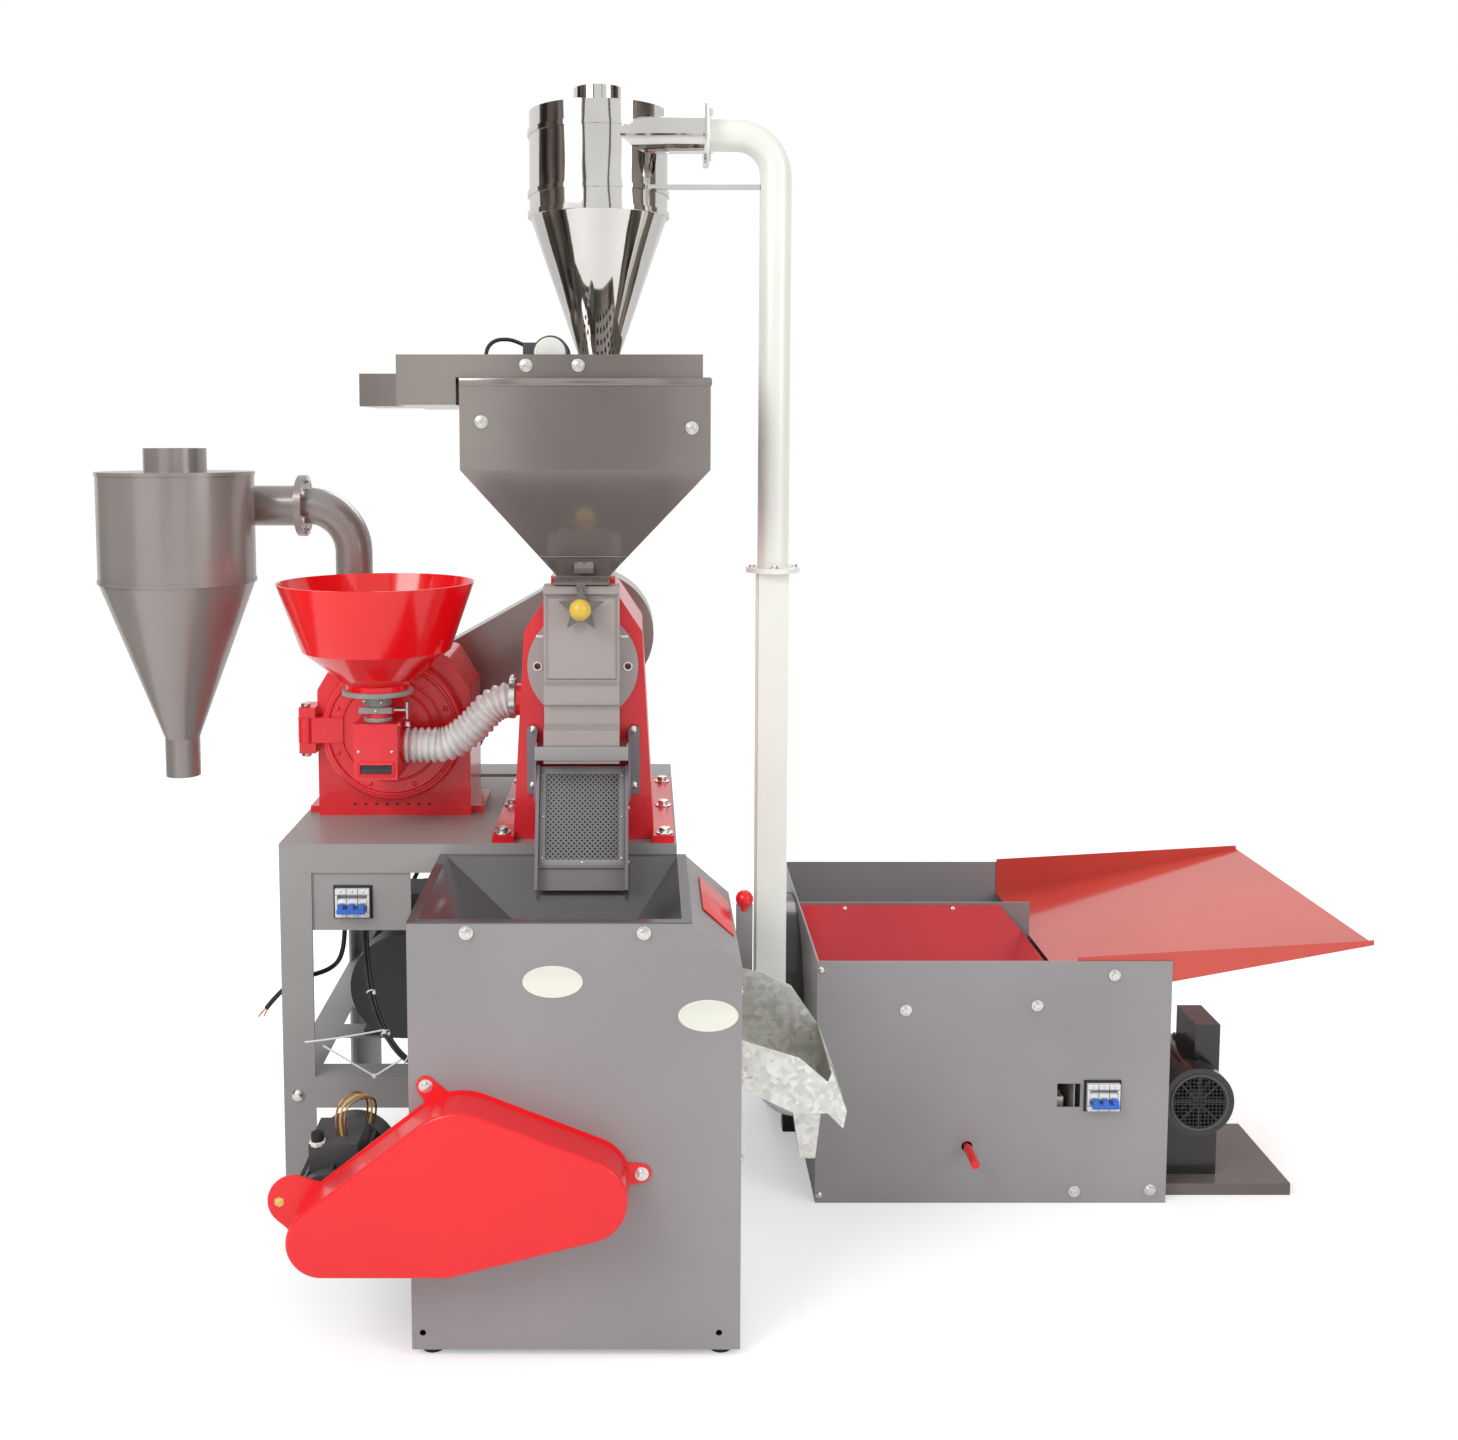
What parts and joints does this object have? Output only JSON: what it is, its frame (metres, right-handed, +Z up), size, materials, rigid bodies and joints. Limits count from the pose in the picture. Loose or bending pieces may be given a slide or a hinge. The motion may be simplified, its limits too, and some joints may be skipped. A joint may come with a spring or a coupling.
{
  "type": "rice huller",
  "caption": "Combined rice mill set: a huller and a flour mill on a steel table, a destoner cab in front, a feed box with lift pipe, and two cyclones",
  "frame": {"origin": "on the floor, below the middle of the whole set", "axes": "+X to the right seen from the operator, +Y away from the operator, +Z up"},
  "size_m": [2.08, 1.03, 1.818],
  "materials": {
    "frame_grey": "satin",
    "cab_grey": "satin",
    "cast_red": "gloss",
    "guard_red": "gloss",
    "tray_red": "gloss",
    "silver_grey": "satin",
    "cyclone_grey": "satin",
    "polished_steel": "polished",
    "galvanised": "satin",
    "pale_zinc": "satin",
    "machined_steel": "satin",
    "black_paint": "gloss",
    "motor_grey": "satin",
    "black_rubber": "matte",
    "cast_iron": "matte",
    "breaker_white": "matte",
    "toggle_blue": "gloss",
    "hose_grey": "matte",
    "cord_black": "matte"
  },
  "bodies": {
    "base": {"table_frame": "frame_grey", "deck_plate": "frame_grey", "control_panel": "frame_grey", "breakers": "breaker_white", "main_motor": "motor_grey", "drive_belts": "black_rubber", "huller_body": "cast_red", "huller_screen": "machined_steel", "huller_head": "frame_grey", "screen_chute": "frame_grey", "main_hopper": "silver_grey", "steel_cyclone": "polished_steel", "riser_pipe": "pale_zinc", "riser_duct": "pale_zinc", "riser_elbow": "galvanised", "mill_body": "cast_red", "ring_sieve": "machined_steel", "rear_belt_guard": "cyclone_grey", "cyclone_pipe": "cyclone_grey", "flour_cyclone": "cyclone_grey", "cab_body": "cab_grey", "cab_feet": "black_rubber", "cab_pan": "cab_grey", "guard_plate": "guard_red", "belt_guard": "guard_red", "destoner_belt": "black_rubber", "destoner_motor": "motor_grey", "discharge_chute": "galvanised", "cleaner_box": "cab_grey", "trough_liner": "tray_red", "feed_tray": "tray_red", "blower_housing": "black_paint", "blower_motor": "motor_grey", "cleaner_motor": "black_paint", "motor_base": "frame_grey", "shaft_bearings": "machined_steel", "fasteners": "machined_steel", "power_lead": "cord_black", "cable_bundle": "cord_black"},
    "motor_spindle": {"main_motor_rotor": "cast_iron"},
    "huller_spindle": {"huller_rotor": "cast_iron"},
    "mill_spindle": {"mill_rotor": "cast_iron"},
    "gate_blade": {"feed_gate": "machined_steel"},
    "tray": {"sieve_tray": "silver_grey", "vibration_motor": "motor_grey"},
    "door": {"mill_door": "cast_red", "mill_hopper": "guard_red", "corrugated_hose": "hose_grey"},
    "mill_slide": {"mill_feed_slide": "machined_steel"},
    "panel_switch": {"panel_toggle": "toggle_blue"},
    "cleaner_switch": {"cleaner_toggle": "toggle_blue"},
    "drive_spindle": {"destoner_rotor": "cast_iron"},
    "eccentric": {"eccentric_shaft": "cast_iron"},
    "fan": {"destoner_fan": "machined_steel"},
    "deck": {"destoner_deck": "galvanised"},
    "stone_lever": {"stone_gate": "frame_grey"},
    "cleaner_spindle": {"cleaner_rotor": "machined_steel"},
    "impeller": {"blower_impeller": "machined_steel"},
    "pull_gate": {"trough_gate": "guard_red"},
    "sieve": {"cleaner_sieve": "galvanised"}
  },
  "joints": [
    {"name": "main_motor_spin", "type": "hinge", "parent": "base", "child": "motor_spindle", "pos_m": [-0.545, 0.284, 0.352], "axis": [0, 1, 0], "continuous": true},
    {"name": "huller_spin", "type": "hinge", "parent": "base", "child": "huller_spindle", "pos_m": [-0.242, 0, 0.905], "axis": [0, 1, 0], "continuous": true},
    {"name": "mill_spin", "type": "hinge", "parent": "base", "child": "mill_spindle", "pos_m": [-0.564, 0.1, 0.776], "axis": [0, 1, 0], "continuous": true},
    {"name": "feed_gate_slide", "type": "slide", "parent": "base", "child": "gate_blade", "axis": [0, -1, 0], "range_m": [0, 0.06]},
    {"name": "tray_shake", "type": "slide", "parent": "base", "child": "tray", "axis": [1, 0, 0], "range_m": [-0.003, 0.003], "stiffness_N_per_m": 20000},
    {"name": "mill_door_hinge", "type": "hinge", "parent": "base", "child": "door", "pos_m": [-0.706, 0.03, 0.776], "axis": [0, 0, 1], "range_deg": [-25, 0]},
    {"name": "mill_feed_gate", "type": "slide", "parent": "door", "child": "mill_slide", "axis": [1, 0, 0], "range_m": [0, 0.03]},
    {"name": "panel_breaker", "type": "hinge", "parent": "base", "child": "panel_switch", "pos_m": [-0.602, -0.125, 0.535], "axis": [1, 0, 0], "range_deg": [-40, 0]},
    {"name": "cleaner_breaker", "type": "hinge", "parent": "base", "child": "cleaner_switch", "pos_m": [0.604, -0.047, 0.184], "axis": [1, 0, 0], "range_deg": [-40, 0]},
    {"name": "destoner_motor_spin", "type": "hinge", "parent": "base", "child": "drive_spindle", "pos_m": [-0.577, -0.4855, 0.196], "axis": [0, 1, 0], "continuous": true},
    {"name": "eccentric_spin", "type": "hinge", "parent": "base", "child": "eccentric", "pos_m": [-0.387, -0.4855, 0.294], "axis": [0, 1, 0], "continuous": true},
    {"name": "fan_spin", "type": "hinge", "parent": "base", "child": "fan", "pos_m": [-0.225, -0.4855, 0.242], "axis": [0, 1, 0], "continuous": true},
    {"name": "deck_shake", "type": "slide", "parent": "base", "child": "deck", "axis": [1, 0, 0], "range_m": [-0.004, 0.004], "stiffness_N_per_m": 12000},
    {"name": "stone_gate_lever", "type": "hinge", "parent": "base", "child": "stone_lever", "pos_m": [0.0055, -0.187, 0.425], "axis": [1, 0, 0], "range_deg": [-35, 0]},
    {"name": "cleaner_spin", "type": "hinge", "parent": "base", "child": "cleaner_spindle", "pos_m": [0.772, 0.05, 0.162], "axis": [0, 1, 0], "continuous": true},
    {"name": "blower_spin", "type": "hinge", "parent": "base", "child": "impeller", "pos_m": [0.107, 0.322, 0.215], "axis": [1, 0, 0], "continuous": true},
    {"name": "trough_gate_slide", "type": "slide", "parent": "base", "child": "pull_gate", "axis": [0, -1, 0], "range_m": [0, 0.05]},
    {"name": "sieve_shake", "type": "slide", "parent": "base", "child": "sieve", "axis": [1, 0, 0], "range_m": [-0.004, 0.004], "stiffness_N_per_m": 12000}
  ],
  "couplings": [
    {"joint": "huller_spin", "follows": "main_motor_spin", "ratio": 0.67391},
    {"joint": "mill_spin", "follows": "main_motor_spin", "ratio": 1.8478},
    {"joint": "eccentric_spin", "follows": "destoner_motor_spin", "ratio": 0.58696},
    {"joint": "fan_spin", "follows": "destoner_motor_spin", "ratio": 0.96429}
  ]
}
